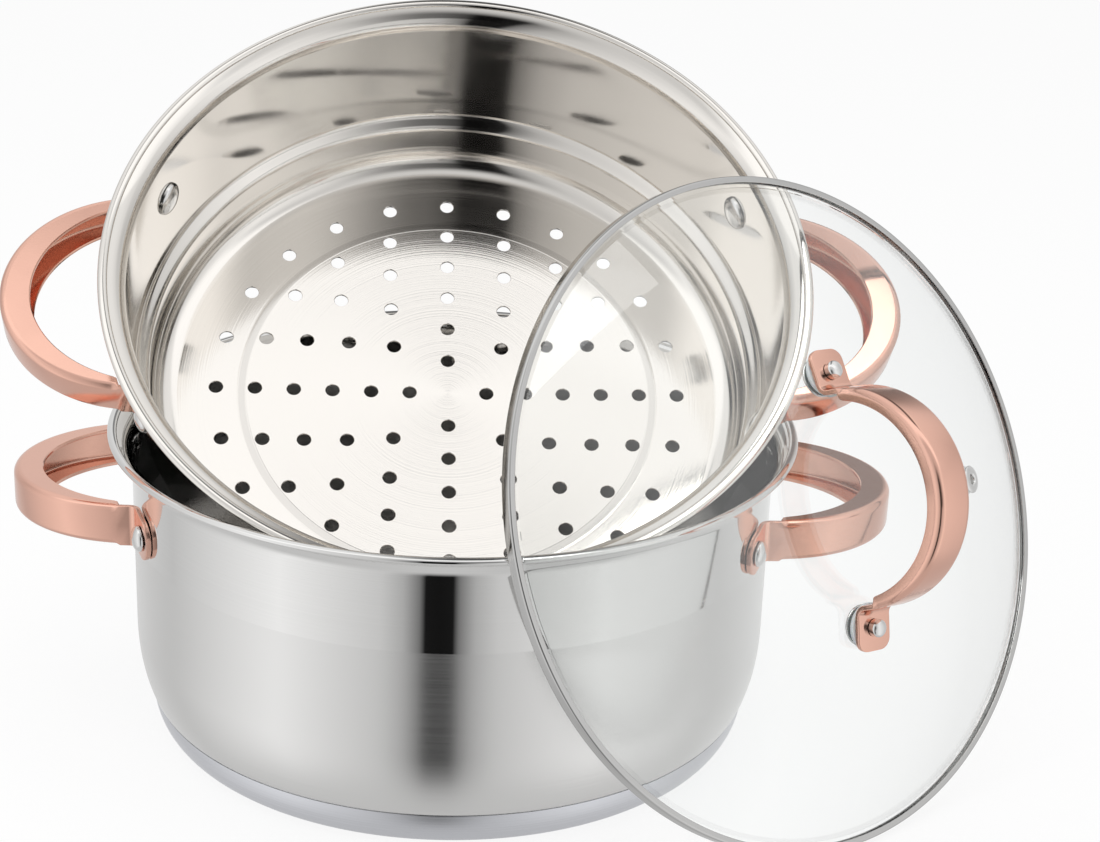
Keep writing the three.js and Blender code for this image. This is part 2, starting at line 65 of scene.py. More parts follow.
# Steel sheet, wall and rolled lip, shared by the pot and the insert
SHEET = 0.8
WALL_RADIUS = 118.5
LIP_RADIUS = 127
LIP_WIDTH = 3.4
LIP_DEPTH = 2.5
LIP_START = math.radians(-118)
FLARE_KNEE = (0.5, 0.6)

# Pot
POT_HEIGHT = 116.4
POT_FLARE = 10.4
POT_CORNER_TOP = 40
POT_CORNER_WIDTH = 16
POT_CORNER_DEPTH = 36
POT_FLOOR = 7
POT_HANDLE_HEIGHT = 87.7
POLISHED_FROM = 78.5
POLISH_EDGE = 0.25

# Base cap and its seam
SEAM_HEIGHT = 14
SEAM_GAP = 0.6
SEAM_STEP = 1.2
CAP_SHEET = 0.6
CAP_ROUND = 8.8
KNUCKLE_START = 103.97
GAP = 0.3

# Steamer insert, measured from the inside of its floor
INSERT_HEIGHT = 83
INSERT_FLARE = 8.4
INSERT_LOWER_RADIUS = 113.8
INSERT_SHOULDER = (19, 25)
INSERT_CORNER = 9
INSERT_HANDLE_HEIGHT = 56
STEAM_RINGS = 6
STEAM_HOLES_PER_RING = 4
STEAM_PITCH = 14.87
STEAM_HOLE_RADIUS = 2.7
HOLE_CHAMFER = 0.15
RIDGE_FROM = 77.6
RIDGE_TO = 81.2
RIDGE_HEIGHT = 0.05
DISH_DEPTH = 1.2
DISH_LEVEL = 0.99

# Side handles
HANDLE_REACH = 163.5
HANDLE_LEG_START = 115
HANDLE_HALF_SPAN = 42.5
STRAP_HALF = 7.75
STRAP_SHEET = 1.4
STRAP_ROUND = 2.6
STRAP_EDGE = 0.35
LEAST_FILLET = 0.02
FLANGE_APEX = 11
FLANGE_END = 4.2
FLANGE_CUT = math.radians(83)
FLANGE_STOP = math.radians(86)
EAR_LIP = 0.4
EAR_ROUND = 0.45
EAR_TOLERANCE = 0.01
EAR_TIP = 2
EAR_DROP = 1.5
EAR_DROPPED = 0.55
EAR_BEND = 3
EAR_SEAT_GAP = 0.25
EAR_END = 7.5
RIVET_ANGLE = math.radians(3.5 * 360 / 52)

# Rivets
RIVET_SHANK = 2.2
RIVET_HEAD = 4.75
RIVET_DOME = 2.7
RIVET_TAIL = 4.5
RIVET_TAIL_DOME = 1.6
INSERT_RIVET_TAIL = 6.4
INSERT_TAIL_DOME = 3
RIVET_BRIM = 0.3

# Lid
LID_RADIUS = 118.8
BAND_HALF = 2.4
BAND_SHEET = 0.5
BAND_LIP = 3.3
BAND_LIP_SHOWN = 2.2
BAND_ROUND = 0.9
GLASS_SHEET = 3.2
GLASS_RIM = 4
DOME_BASE = LID_RADIUS - GLASS_RIM
DOME_RISE = 33
DOME_STEPS = 40
LID_HANDLE_REACH = 48
LID_LEG_LIFT = 1
LID_HANDLE_SPAN = 37.5
LID_STRAP_HALF = 7.25
LID_FLANGE_APEX = 6.5
LID_FLANGE_END = 4
LID_RIVET_SPREAD = 43.5
LID_EAR_END = 8
LID_EAR_CORNER = 4
LID_RIVET_SHANK = 2
LID_RIVET_HEAD = 3.1
LID_RIVET_DOME = 3.4
LID_RIVET_CROWN = 0.5
LID_RIVET_TAIL = 4
GASKET_RADIUS = 8.2
GASKET_SHEET = 1.4
WASHER_RADIUS = 7
WASHER_SHEET = 1
RING_ROUND = 0.4
VENT_SPREAD = 68
VENT_RADIUS = 5
VENT_TUBE = 2.8
VENT_HOLE = 1.7
VENT_FLANGE = 0.9

# Rest poses of the insert and the lid
INSERT_TURN = 4.66
INSERT_TILT = 36.89
INSERT_SPIN = -1.54
INSERT_AT = (-3.28, 36.12, 112.98)
LID_HEADING = -52.33
LID_LEAN = 26.07
LID_ROLL = 84.06
LID_ASIDE = 56.76
LID_FLOOR_GAP = 0.2

# Camera: where it stands, its axes, and its focal length in pixels of the photograph
PHOTO_WIDTH = 1100
FOCAL_PIXELS = 2256.55
SENSOR = 36
CAMERA_AT = (13.69, -783.66, 419.83)
CAMERA_RIGHT = (0.99933, -0.01489, 0.03358)
CAMERA_UP = (-0.02591, 0.36223, 0.93174)
CAMERA_BACK = (-0.02603, -0.93198, 0.36160)
CAMERA_NEAR = 0.01

# Finishes, as linear colours
STEEL = (0.83, 0.825, 0.815)
INSERT_STEEL = (0.86, 0.83, 0.79)
BASE_STEEL = (0.79, 0.80, 0.84)
COPPER = (0.89, 0.53, 0.42)
ALUMINIUM = (0.66, 0.67, 0.68)
SILICONE = (0.72, 0.73, 0.73)
GLASS = (0.985, 0.995, 0.99)
FLOOR_WHITE = (0.9, 0.9, 0.9)

# Spans of a noise that steer gloss and tone, and its detail
GLOSS_SPAN = (0.3, 0.7)
TONE_SPAN = (0.25, 0.75)
FINE_DETAIL = 3
SOFT_DETAIL = 2

# Textures: scales per metre, least and most roughness, strength and depth of bumps
POT_LINES = (6, 6, 3200)
POT_CLOUD = (30, 30, 30)
POT_SATIN = (0.20, 0.25)
POT_POLISH = (0.02, 0.07)
POT_SHADE = 0.97
POT_BUMP = (0.015, 0.0002)
POT_BRUSHED = 0.9
INSERT_CIRCLES = 1500
INSERT_CLOUD = (26, 26, 26)
INSERT_FLOOR_TOP = (1.5, 4)
INSERT_BRUSHING = (0.08, 0.15)
INSERT_POLISH = (0.05, 0.11)
INSERT_SHADE = 0.95
# Share that darkens the stamped ring on the insert's floor: painted shade of its low ridge
RIDGE_PAINTED_SHADE = 0.82
INSERT_BUMP = (0.12, 0.0002)
INSERT_BRUSHED = 0.55
BASE_LINES = 900
BASE_BRUSHING = (0.26, 0.42)
BASE_SHADE = 0.88
BASE_BUMP = (0.2, 0.0003)
BASE_BRUSHED = 0.6
BRUSH_TURN = 0.25
METAL_CLOUD = (60, 60, 60)
METAL_HAIR = (300, 300, 3000)
METAL_SHADE = 0.95
HAIR_DEPTH = 0.0001
CORE_ROUGH = (0.4, 0.55)
CORE_HAIR = 0.3
RIVET_ROUGH = (0.10, 0.22)
RIVET_HAIR = 0.04
BAND_ROUGH = (0.06, 0.14)
BAND_HAIR = 0.03
# Share that darkens the lid band's steel: painted shade of its grooved channel
BAND_PAINTED_SHADE = 0.72
COPPER_ROUGH = (0.10, 0.18)
COPPER_HAIR = 0.02
SILICONE_GRAIN = (900, 900, 900)
SILICONE_SHADE = 0.9
SILICONE_ROUGH = (0.45, 0.6)
SILICONE_SOFT = 0.15
GLASS_CLOUD = (12, 12, 12)
GLASS_ROUGH = (0.0, 0.02)
GLASS_IOR = 1.7

# Floor, in metres
FLOOR_ROUGH = 0.9
FLOOR_GLOW = 0.88
FLOOR_REACH = 6.0
FLOOR_DROP = 0.0002

# Studio tones by direction, whose edges are shares of a unit direction
MIRRORED = 0.5
SOFT_LIGHT = 0.7
LEAST_FLAT = 1e-4
GAP_HEADING = 3
HORIZON_TONES = {
    0: 0.008,
    5: 0.01,
    7: 0.2,
    13: 0.48,
    21: 0.66,
    35: 0.78,
    60: 1.0,
    90: 0.78,
    115: 0.6,
    180: 0.85,
}
SCREEN_LEFT = (-0.12, -0.02)
SCREEN_RIGHT = (0.2, 0.65)
SCREEN_FOOT = (0.05, 0.15)
SCREEN_TONE = 0.3
CEILING_EDGE = (0.42, 0.8)
OVERHEAD = 1.2
FRONT_EDGE = (-0.5, -0.3)
FRONT_SHARE = 0.58
REAR_EDGE = (-0.035, 0.005)
REAR_MIDDLE = 0.054
REAR_SPREAD = (0.04, 0.26)
REAR_TONES = (0.1, 0.92)
GROUND_EDGE = (-0.82, -0.6)
GROUND_TONE = 0.62

# Softbox, in metres and watts
LAMP_SIZE = 1.2
LAMP_POWER = 9
LAMP_AT = (-0.15, -0.2, 1.3)
LAMP_AIM = (0, 0, 0.1)

DOME_RADIUS = (DOME_BASE**2 + DOME_RISE**2) / (2 * DOME_RISE)
DOME_CENTRE = GLASS_SHEET / 2 + DOME_RISE - DOME_RADIUS


# Rest poses
def turn(axis, degrees):
    return Matrix.Rotation(math.radians(degrees), 4, axis)


def insert_pose():
    place = Matrix.Translation(Vector(INSERT_AT) * MM)
    return place @ turn("Z", INSERT_TURN) @ turn("X", INSERT_TILT) @ turn("Z", INSERT_SPIN)


def lid_pose():
    lean = math.radians(LID_LEAN)
    height = LID_RADIUS * math.cos(lean) + BAND_HALF * math.sin(lean) + LID_FLOOR_GAP
    lip_above = POT_HEIGHT - LIP_DEPTH / 2 - height
    touch_aside = math.sqrt((LID_RADIUS - BAND_LIP) ** 2 - (lip_above / math.cos(lean)) ** 2)
    lip_reach = math.sqrt(LIP_RADIUS**2 - (touch_aside - LID_ASIDE) ** 2)
    away = lip_reach + lip_above * math.tan(lean) + (BAND_HALF + GAP) / math.cos(lean)
    place = Matrix.Translation(Vector((away, LID_ASIDE, height)) * MM)
    return turn("Z", LID_HEADING) @ place @ turn("Y", 90 - LID_LEAN) @ turn("Z", LID_ROLL)


POSES = {"pot": Matrix.Identity(4), "insert": insert_pose(), "lid": lid_pose()}


# Outlines, as lists of radius and height or of depth and height
def arc(centre, wide, high, start, end, steps):
    points = []
    for i in range(steps + 1):
        t = start + (end - start) * i / steps
        points.append((centre[0] + wide * math.cos(t), centre[1] + high * math.sin(t)))
    return points


def curve(start, knee, end, steps):
    points = []
    for i in range(steps + 1):
        t = i / steps
        k = 1 - t
        weighed = list(zip((k * k, 2 * k * t, t * t), (start, knee, end)))
        points.append(tuple(sum(w * p[j] for w, p in weighed) for j in (0, 1)))
    return points


def flare_and_lip(top, flare):
    foot = top - flare
    centre = (LIP_RADIUS - LIP_WIDTH / 2, top - LIP_DEPTH / 2)
    lip = arc(centre, LIP_WIDTH / 2, LIP_DEPTH / 2, LIP_START, math.pi, 3 * CORNER_STEPS)

    def wall(radius, end):
        knee = (radius + FLARE_KNEE[0], foot + flare * FLARE_KNEE[1])
        return curve((radius, foot), knee, end, CORNER_STEPS)

    outside = wall(WALL_RADIUS, lip[0])
    inside = wall(WALL_RADIUS - SHEET, lip[-1])
    return outside[:-1] + lip + inside[::-1][1:]


def pot_outline():
    quarter = math.pi / 2
    centre = (WALL_RADIUS - POT_CORNER_WIDTH, POT_CORNER_TOP)
    seam = (POT_CORNER_TOP - SEAM_HEIGHT) / POT_CORNER_DEPTH
    corner = arc(centre, POT_CORNER_WIDTH, POT_CORNER_DEPTH, -math.asin(seam), 0, CORNER_STEPS)
    seam_radius = corner[0][0]
    knuckle = arc(
        (KNUCKLE_START, SEAM_HEIGHT),
        seam_radius - SEAM_STEP - KNUCKLE_START,
        SEAM_HEIGHT - POT_FLOOR,
        -quarter,
        0,
        CORNER_STEPS,
    )
    inner_centre = (centre[0] - SHEET, centre[1])
    depth = POT_CORNER_TOP - POT_FLOOR - SHEET
    inner = arc(inner_centre, POT_CORNER_WIDTH, depth, 0, -quarter, 2 * CORNER_STEPS)
    floor = [(0, POT_FLOOR + SHEET)]
    brow = SEAM_HEIGHT + SEAM_GAP / 2
    edge = [(seam_radius - SEAM_STEP, brow), (seam_radius, brow)]
    shell = [(0, POT_FLOOR)] + knuckle + edge + corner[1:] + flare_and_lip(POT_HEIGHT, POT_FLARE)
    return shell + inner + floor, seam_radius


def cap_outline(seam_radius):
    quarter = math.pi / 2
    edge = SEAM_HEIGHT - SEAM_GAP / 2
    outer = seam_radius - SEAM_STEP + GAP + CAP_SHEET
    centre = (outer - CAP_ROUND, edge)
    outside = arc(centre, CAP_ROUND, edge, -quarter, 0, CORNER_STEPS)
    inside = arc(centre, CAP_ROUND - CAP_SHEET, edge - CAP_SHEET, 0, -quarter, CORNER_STEPS)
    return [(0, 0)] + outside + inside + [(0, CAP_SHEET)]


def insert_outline():
    quarter = math.pi / 2
    low = INSERT_LOWER_RADIUS
    outer = INSERT_CORNER + SHEET
    centre = (low - outer, INSERT_CORNER)
    outside = arc(centre, outer, outer, -quarter, 0, CORNER_STEPS)
    inside = arc(centre, INSERT_CORNER, INSERT_CORNER, 0, -quarter, CORNER_STEPS)

    def shoulder(inset, lift):
        lower, upper = (INSERT_SHOULDER[0] + lift, INSERT_SHOULDER[1] + lift)
        points = []
        for i in range(CORNER_STEPS + 1):
            t = i / CORNER_STEPS
            share = t * t * (3 - 2 * t)
            points.append((low - inset + (WALL_RADIUS - low) * share, lower + (upper - lower) * t))
        return points

    wall = outside + shoulder(0, 0) + flare_and_lip(INSERT_HEIGHT, INSERT_FLARE)
    return wall + shoulder(SHEET, SHEET / 2)[::-1] + inside


def glass_outline():
    edge = LID_RADIUS - BAND_SHEET - GAP
    inner = DOME_RADIUS - GLASS_SHEET
    inner_base = math.sqrt(inner**2 - (GLASS_SHEET / 2 + DOME_CENTRE) ** 2)

    def dome(radius, base):
        top = math.pi / 2
        return arc((0, DOME_CENTRE), radius, radius, top, top - math.asin(base / radius), DOME_STEPS)

    rim = [(edge, -GLASS_SHEET / 2), (edge, GLASS_SHEET / 2)]
    return dome(inner, inner_base) + rim + dome(DOME_RADIUS, DOME_BASE)[::-1]


def band_outline():
    quarter = math.pi / 2
    lip = LID_RADIUS - BAND_LIP_SHOWN
    groove = LID_RADIUS - BAND_SHEET
    inside = BAND_HALF - BAND_SHEET
    middle = LID_RADIUS - BAND_ROUND
    rise = BAND_HALF - BAND_ROUND
    under = arc((middle, -rise), BAND_ROUND, BAND_ROUND, -quarter, 0, CORNER_STEPS)
    over = arc((middle, rise), BAND_ROUND, BAND_ROUND, 0, quarter, CORNER_STEPS)
    half = BAND_SHEET / 2
    low_edge = arc((lip, half - BAND_HALF), half, half, quarter, 3 * quarter, CORNER_STEPS)
    high_edge = arc((lip, BAND_HALF - half), half, half, quarter, 3 * quarter, CORNER_STEPS)
    return low_edge + under + over + high_edge + [(groove, inside), (groove, -inside)]


def rivet_outline(r):
    quarter = math.pi / 2
    brim = r["head_at"] + RIVET_BRIM
    head = arc((0, brim), r["head"], r["dome"] - RIVET_BRIM, 0, quarter, CORNER_STEPS)
    rim = r["tail_at"] - RIVET_BRIM
    tail = arc((0, rim), r["tail"], r["tail_dome"] - RIVET_BRIM, -quarter, 0, CORNER_STEPS)
    shank = [
        (r["tail"], r["tail_at"]),
        (r["shank"], r["tail_at"]),
        (r["shank"], r["head_at"]),
        (r["head"], r["head_at"]),
    ]
    return tail + shank + head


def pin_outline(r):
    quarter = math.pi / 2
    dome = r["head"] * LID_RIVET_CROWN
    shoulder = r["head_at"] + r["dome"] - dome
    head = arc((0, shoulder), r["head"], dome, 0, quarter, CORNER_STEPS)
    full = rivet_outline(r)
    return full[: -CORNER_STEPS - 1] + head


def ring_outline(radius, hole, low, high):
    quarter = math.pi / 2
    round_by = min(RING_ROUND, (high - low) / 2)
    under = arc((radius - round_by, low + round_by), round_by, round_by, -quarter, 0, CORNER_STEPS)
    over = arc((radius - round_by, high - round_by), round_by, round_by, 0, quarter, CORNER_STEPS)
    return [(hole, low)] + under + over + [(hole, high)]


def vent_outline():
    quarter = math.pi / 2
    top = DOME_RADIUS + GAP
    bottom = DOME_RADIUS - GLASS_SHEET - 2 * GAP
    width = VENT_RADIUS - VENT_TUBE
    crown = arc((VENT_TUBE, top), width, VENT_FLANGE, 0, quarter, CORNER_STEPS)
    mouth = arc((VENT_TUBE, top), VENT_HOLE - VENT_TUBE, VENT_FLANGE, quarter, 0, CORNER_STEPS)
    under = [
        (VENT_HOLE, bottom - VENT_FLANGE),
        (VENT_RADIUS, bottom - VENT_FLANGE),
        (VENT_RADIUS, bottom),
        (VENT_TUBE, bottom),
        (VENT_TUBE, top),
    ]
    return under + crown + mouth


# Meshes, as vertices in millimetres and faces
def turned(outline, steps, closed=False):
    vertices = []
    rings = []
    for radius, height in outline:
        start = len(vertices)
        if radius < ON_AXIS:
            vertices.append((0, 0, height))
            rings.append([start] * steps)
            continue
        for i in range(steps):
            angle = 2 * math.pi * i / steps
            vertices.append((radius * math.cos(angle), radius * math.sin(angle), height))
        rings.append(list(range(start, start + steps)))
    faces = []
    for low, high in zip(rings, rings[1:] + (rings[:1] if closed else [])):
        for i in range(steps):
            j = (i + 1) % steps
            face = list(dict.fromkeys((low[i], low[j], high[j], high[i])))
            if len(face) > 2:
                faces.append(face)
    return vertices, faces


def moved(shape, matrix):
    vertices, faces = shape
    return [tuple(matrix @ Vector(v)) for v in vertices], faces


def joined(*shapes):
    vertices = []
    faces = []
    for more, corners in shapes:
        start = len(vertices)
        vertices += more
        faces += [[start + i for i in face] for face in corners]
    return vertices, faces


def circle(centre, radius, height, steps):
    points = []
    for i in range(steps):
        angle = 2 * math.pi * i / steps
        x = centre[0] + radius * math.cos(angle)
        y = centre[1] + radius * math.sin(angle)
        points.append((x, y, height))
    return points


# A flat plate between round outlines, facing up or down
def plate(outlines, up):
    form = bmesh.new()
    edges = []
    for outline in outlines:
        loop = [form.verts.new(p) for p in outline]
        edges += [form.edges.new((a, b)) for a, b in zip(loop, loop[1:] + loop[:1])]
    bmesh.ops.triangle_fill(form, edges=edges, use_beauty=True, normal=(0, 0, 1))
    form.verts.index_update()
    vertices = [tuple(v.co) for v in form.verts]
    faces = []
    for face in form.faces:
        corners = [v.index for v in face.verts]
        faces.append(corners if (face.normal.z > 0) == up else corners[::-1])
    form.free()
    return vertices, faces


def steam_holes():
    places = []
    for ring in range(1, STEAM_RINGS + 1):
        count = ring * STEAM_HOLES_PER_RING
        for i in range(count):
            angle = 2 * math.pi * i / count
            radius = ring * STEAM_PITCH
            places.append((radius, (radius * math.cos(angle), radius * math.sin(angle))))
    return places


def hole_wall(centre):
    wide = STEAM_HOLE_RADIUS + HOLE_CHAMFER
    outline = [
        (wide, 0),
        (STEAM_HOLE_RADIUS, -HOLE_CHAMFER),
        (STEAM_HOLE_RADIUS, HOLE_CHAMFER - SHEET),
        (wide, -SHEET),
    ]
    return moved(turned(outline, HOLE_STEPS), Matrix.Translation((*centre, 0)))


# The shallow dish stamped into the middle of the insert's floor
def dished(shape):
    vertices, faces = shape
    sunk = []
    for x, y, z in vertices:
        share = min(1, math.hypot(x, y) / RIDGE_FROM)
        sunk.append((x, y, z + DISH_DEPTH * (share * share - 1)))
    return sunk, faces


# Normals of the dish, so that its few large faces shade as one even hollow
def dish_normals(mesh):
    slope = 2 * DISH_DEPTH / RIDGE_FROM**2
    normals = [(0, 0, 0)] * len(mesh.loops)
    for polygon in mesh.polygons:
        corners = [mesh.vertices[i].co / MM for i in polygon.vertices]
        farthest = max(math.hypot(c.x, c.y) for c in corners)
        if abs(polygon.normal.z) < DISH_LEVEL or farthest > RIDGE_FROM + HOLE_CHAMFER:
            continue
        side = math.copysign(1, polygon.normal.z)
        for i, corner in zip(polygon.loop_indices, corners):
            across = Vector((-slope * corner.x, -slope * corner.y, 1)).normalized()
            normals[i] = tuple(side * across)
    mesh.normals_split_custom_set(normals)


# The insert's floor: two drilled plates each side of a ridge, and the walls of the holes
def insert_floor():
    edge = INSERT_LOWER_RADIUS - INSERT_CORNER - SHEET
    holes = steam_holes()
    wide = STEAM_HOLE_RADIUS + HOLE_CHAMFER
    shapes = [hole_wall(centre) for _, centre in holes]
    middle = (0, 0)
    for height, up in ((0, True), (-SHEET, False)):
        inner = [circle(middle, RIDGE_FROM, height, ROUND_STEPS)]
        outer = [circle(middle, r, height, ROUND_STEPS) for r in (RIDGE_TO, edge)]
        for radius, centre in holes:
            drilled = inner if radius < RIDGE_FROM else outer
            drilled.append(circle(centre, wide, height, HOLE_STEPS))
        shapes += [plate(inner, up), plate(outer, up)]
        half = (RIDGE_TO - RIDGE_FROM) / 2
        ridge = arc((RIDGE_FROM + half, height), half, RIDGE_HEIGHT, math.pi, 0, CORNER_STEPS)
        shapes.append(turned(ridge if not up else ridge[::-1], ROUND_STEPS))
    return dished(joined(*shapes))


# Section of the strap: a channel with a rounded back and eased edges
def channel(half, round_by, depth, edge):
    quarter = math.pi / 2
    inner = max(round_by - STRAP_SHEET, LEAST_FILLET)
    start = (STRAP_SHEET + inner, STRAP_SHEET + inner - half)
    fillet = arc(start, inner, inner, math.pi, 3 * quarter, FILLET_STEPS)
    reach = max(depth, start[0] + 2 * edge)
    tip = [
        (reach - edge, STRAP_SHEET - half),
        (reach, STRAP_SHEET - edge - half),
        (reach, edge - half),
        (reach - edge, -half),
    ]
    corner = (round_by, round_by - half)
    back = arc(corner, round_by, round_by, 3 * quarter, math.pi, BACK_STEPS)
    lower = fillet + tip + back
    upper = [(d, -h) for d, h in lower[::-1]]
    return lower + [(0, 0)] + upper


def solid_section(half, round_by, depth, count):
    quarter = math.pi / 2
    steps = (count - 3) // 4
    corner = (round_by, round_by - half)
    back = arc(corner, round_by, round_by, 3 * quarter, math.pi, steps)
    front_corner = (depth - round_by, round_by - half)
    front = arc(front_corner, round_by, round_by, 4 * quarter, 3 * quarter, steps)
    lower = front + back
    upper = [(d, -h) for d, h in lower[::-1]]
    return lower + [(0, 0)] + upper


# Stations of half a loop, from its apex to the tip of one ear, in the plane of the loop
def half_loop(h):
    stations = []
    plate_depth = STRAP_SHEET + EAR_LIP
    for i in range(LOOP_STEPS + 1):
        t = FLANGE_STOP * (i / LOOP_STEPS) ** LOOP_SPACING
        normal = Vector((math.cos(t) / h["rise"], math.sin(t) / h["span"])).normalized()
        depth = h["flange_end"] + (h["flange_apex"] - h["flange_end"]) * math.cos(t)
        past = max(0, (t - FLANGE_CUT) / (FLANGE_STOP - FLANGE_CUT))
        ending = math.sqrt(max(0, 1 - past * past))
        stations.append({
            "at": Vector((h["start"] + h["rise"] * math.cos(t), h["span"] * math.sin(t))),
            "inward": -normal,
            "depth": plate_depth + (depth - plate_depth) * ending,
            "round": EAR_ROUND + (STRAP_ROUND - EAR_ROUND) * ending,
            "half": h["half"],
            "drop": 0,
        })
    ear = {"depth": plate_depth, "round": EAR_ROUND, "half": h["half"], "drop": 0}
    face = h["seat"] + plate_depth
    bend_y = h["span"] + EAR_BEND
    bend_x = math.sqrt((face + EAR_BEND) ** 2 - bend_y**2)
    meet = math.atan2(bend_y, bend_x)
    for i in range(BEND_STEPS + 1):
        t = -math.pi / 2 - (math.pi / 2 - meet) * i / BEND_STEPS
        out = Vector((math.cos(t), math.sin(t)))
        stations.append({**ear, "at": Vector((bend_x, bend_y)) + EAR_BEND * out, "inward": out})
    tip = h["rivet_angle"] + h["ear_end"] / face
    length = (tip - meet) * face
    for i in range(1, EAR_STEPS + 1):
        reach = math.sin(math.pi / 2 * i / EAR_STEPS)
        angle = meet + (tip - meet) * reach
        past = max(0, h["ear_corner"] - length * (1 - reach))
        trimmed = h["half"] - h["ear_corner"] + math.sqrt(max(0, h["ear_corner"] ** 2 - past**2))
        along = Vector((math.cos(angle), math.sin(angle)))
        stations.append({
            **ear,
            "at": face * along,
            "inward": -along,
            "half": max(EAR_TIP, trimmed),
            "drop": h["ear_drop"] * min(1, reach / EAR_DROPPED),
        })
    return stations


# The whole strap, tip to tip, as one closed skin over its sections
def strap(h):
    half = half_loop(h)
    mirror = Vector((1, -1))
    other = [{**s, "at": s["at"] * mirror, "inward": s["inward"] * mirror} for s in half[1:]]
    stations = other[::-1] + half
    vertices = []
    for s in stations:
        section = channel(s["half"], s["round"], s["depth"], STRAP_EDGE)
        if s["depth"] < STRAP_SHEET + EAR_LIP + EAR_TOLERANCE:
            section = solid_section(s["half"], s["round"], s["depth"], len(section))
        for depth, height in section:
            place = s["at"] + depth * s["inward"]
            vertices.append((place.x, place.y, height - s["drop"]))
    count = len(vertices) // len(stations)
    faces = []
    for i in range(len(stations) - 1):
        for j in range(count):
            a = i * count + j
            b = i * count + (j + 1) % count
            faces.append([a, b, b + count, a + count])
    last = (len(stations) - 1) * count
    faces.append(list(range(count))[::-1])
    faces.append(list(range(last, last + count)))
    return vertices, faces


# Materials
def node_material(name):
    material = bpy.data.materials.new(name)
    material.use_nodes = True
    tree = material.node_tree
    shader = tree.nodes["Principled BSDF"]
    return material, tree, shader


def math_node(tree, operation, a, b=None):
    node = tree.nodes.new("ShaderNodeMath")
    node.operation = operation
    for socket, value in zip(node.inputs, (a, b)):
        if isinstance(value, (int, float)):
            socket.default_value = value
        elif value is not None:
            tree.links.new(value, socket)
    return node.outputs[0]


def product(tree, a, b):
    return math_node(tree, "MULTIPLY", a, b)


def total(tree, a, b):
    return math_node(tree, "ADD", a, b)


def mapped(tree, value, low, high, to_low, to_high, smooth=False):
    node = tree.nodes.new("ShaderNodeMapRange")
    node.interpolation_type = "SMOOTHSTEP" if smooth else "LINEAR"
    tree.links.new(value, node.inputs["Value"])
    numbers = {"From Min": low, "From Max": high, "To Min": to_low, "To Max": to_high}
    for name, number in numbers.items():
        node.inputs[name].default_value = number
    return node.outputs["Result"]


# A point's place in the frame of its body at rest
def own_position(tree, pose=None):
    place = tree.nodes.new("ShaderNodeTexCoord").outputs["Object"]
    if pose:
        undo = tree.nodes.new("ShaderNodeMapping")
        undo.vector_type = "TEXTURE"
        undo.inputs["Location"].default_value = pose.to_translation()
        undo.inputs["Rotation"].default_value = pose.to_euler()
        tree.links.new(place, undo.inputs["Vector"])
        place = undo.outputs[0]
    split = tree.nodes.new("ShaderNodeSeparateXYZ")
    tree.links.new(place, split.inputs[0])
    return place, split.outputs


def noise(tree, place, scale, detail):
    mapping = tree.nodes.new("ShaderNodeMapping")
    mapping.inputs["Scale"].default_value = scale
    tree.links.new(place, mapping.inputs["Vector"])
    node = tree.nodes.new("ShaderNodeTexNoise")
    node.inputs["Scale"].default_value = 1
    node.inputs["Detail"].default_value = detail
    tree.links.new(mapping.outputs[0], node.inputs["Vector"])
    return node.outputs["Fac"]


# Distance from the body's axis, and a noise along one such length
def radius_of(tree, axes):
    squares = [product(tree, axis, axis) for axis in (axes[0], axes[1])]
    return math_node(tree, "SQRT", total(tree, *squares))


def line_noise(tree, length, scale, detail):
    line = tree.nodes.new("ShaderNodeCombineXYZ")
    tree.links.new(length, line.inputs[0])
    return noise(tree, line.outputs[0], (scale, 1, 1), detail)


def blended(tree, share, a, b):
    node = tree.nodes.new("ShaderNodeMix")
    node.data_type = "RGBA"
    tree.links.new(share, node.inputs["Factor"])
    for socket, value in zip([s for s in node.inputs if s.type == "RGBA"], (a, b)):
        if isinstance(value, tuple):
            socket.default_value = (*value, 1)
        else:
            tree.links.new(value, socket)
    return [s for s in node.outputs if s.type == "RGBA"][0]


def shaded(colour, share):
    return tuple(c * share for c in colour)


# A colour that darkens a little where its noise is low
def uneven(tree, texture, colour, share, span=TONE_SPAN):
    return blended(tree, mapped(tree, texture, *span, 0, 1), shaded(colour, share), colour)


def bumped(tree, shader, height, strength, distance):
    node = tree.nodes.new("ShaderNodeBump")
    node.inputs["Strength"].default_value = strength
    node.inputs["Distance"].default_value = distance
    tree.links.new(height, node.inputs["Height"])
    tree.links.new(node.outputs[0], shader.inputs["Normal"])


# Brushing round a body's own axis, which spreads reflections across the brush lines
def brushed_round(tree, shader, amount, axes, pose):
    shader.inputs["Anisotropic"].default_value = amount
    shader.inputs["Anisotropic Rotation"].default_value = BRUSH_TURN
    around = tree.nodes.new("ShaderNodeCombineXYZ")
    tree.links.new(product(tree, axes[1], -1), around.inputs[0])
    tree.links.new(axes[0], around.inputs[1])
    turned_to = tree.nodes.new("ShaderNodeMapping")
    turned_to.vector_type = "NORMAL"
    turned_to.inputs["Rotation"].default_value = pose.to_euler()
    tree.links.new(around.outputs[0], turned_to.inputs["Vector"])
    tree.links.new(turned_to.outputs[0], shader.inputs["Tangent"])


